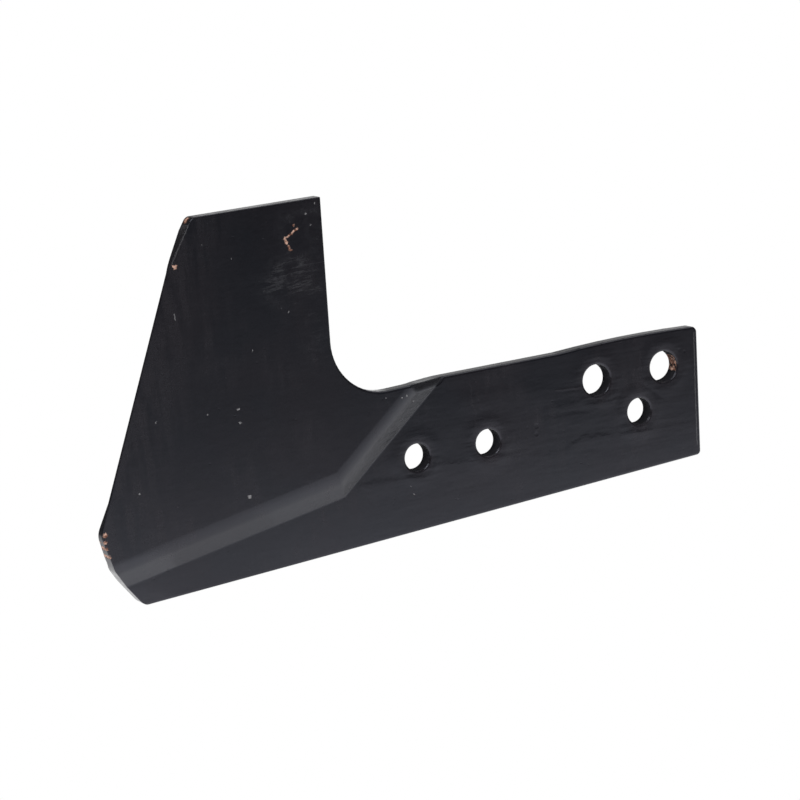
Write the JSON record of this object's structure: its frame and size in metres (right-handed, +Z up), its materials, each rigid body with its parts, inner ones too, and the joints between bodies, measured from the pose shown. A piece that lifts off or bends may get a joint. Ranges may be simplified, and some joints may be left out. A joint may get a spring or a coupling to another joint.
{
  "type": "plough landside",
  "caption": "Flat steel landside bar with bolt holes and a raised blade pressed sideways from the same plate along two creases.",
  "frame": {"origin": "midway between the two large bolt holes, on the flat face that seats on the plough frame", "axes": "+X to the rear along the bolt rows, +Z up, -Y out of the visible side, towards which the blade is pressed"},
  "size_m": [0.4435, 0.02, 0.2359],
  "materials": {
    "black_paint": "satin black paint, chipped and scuffed"
  },
  "bodies": {
    "root": {"landside": "black_paint"}
  },
  "joints": []
}
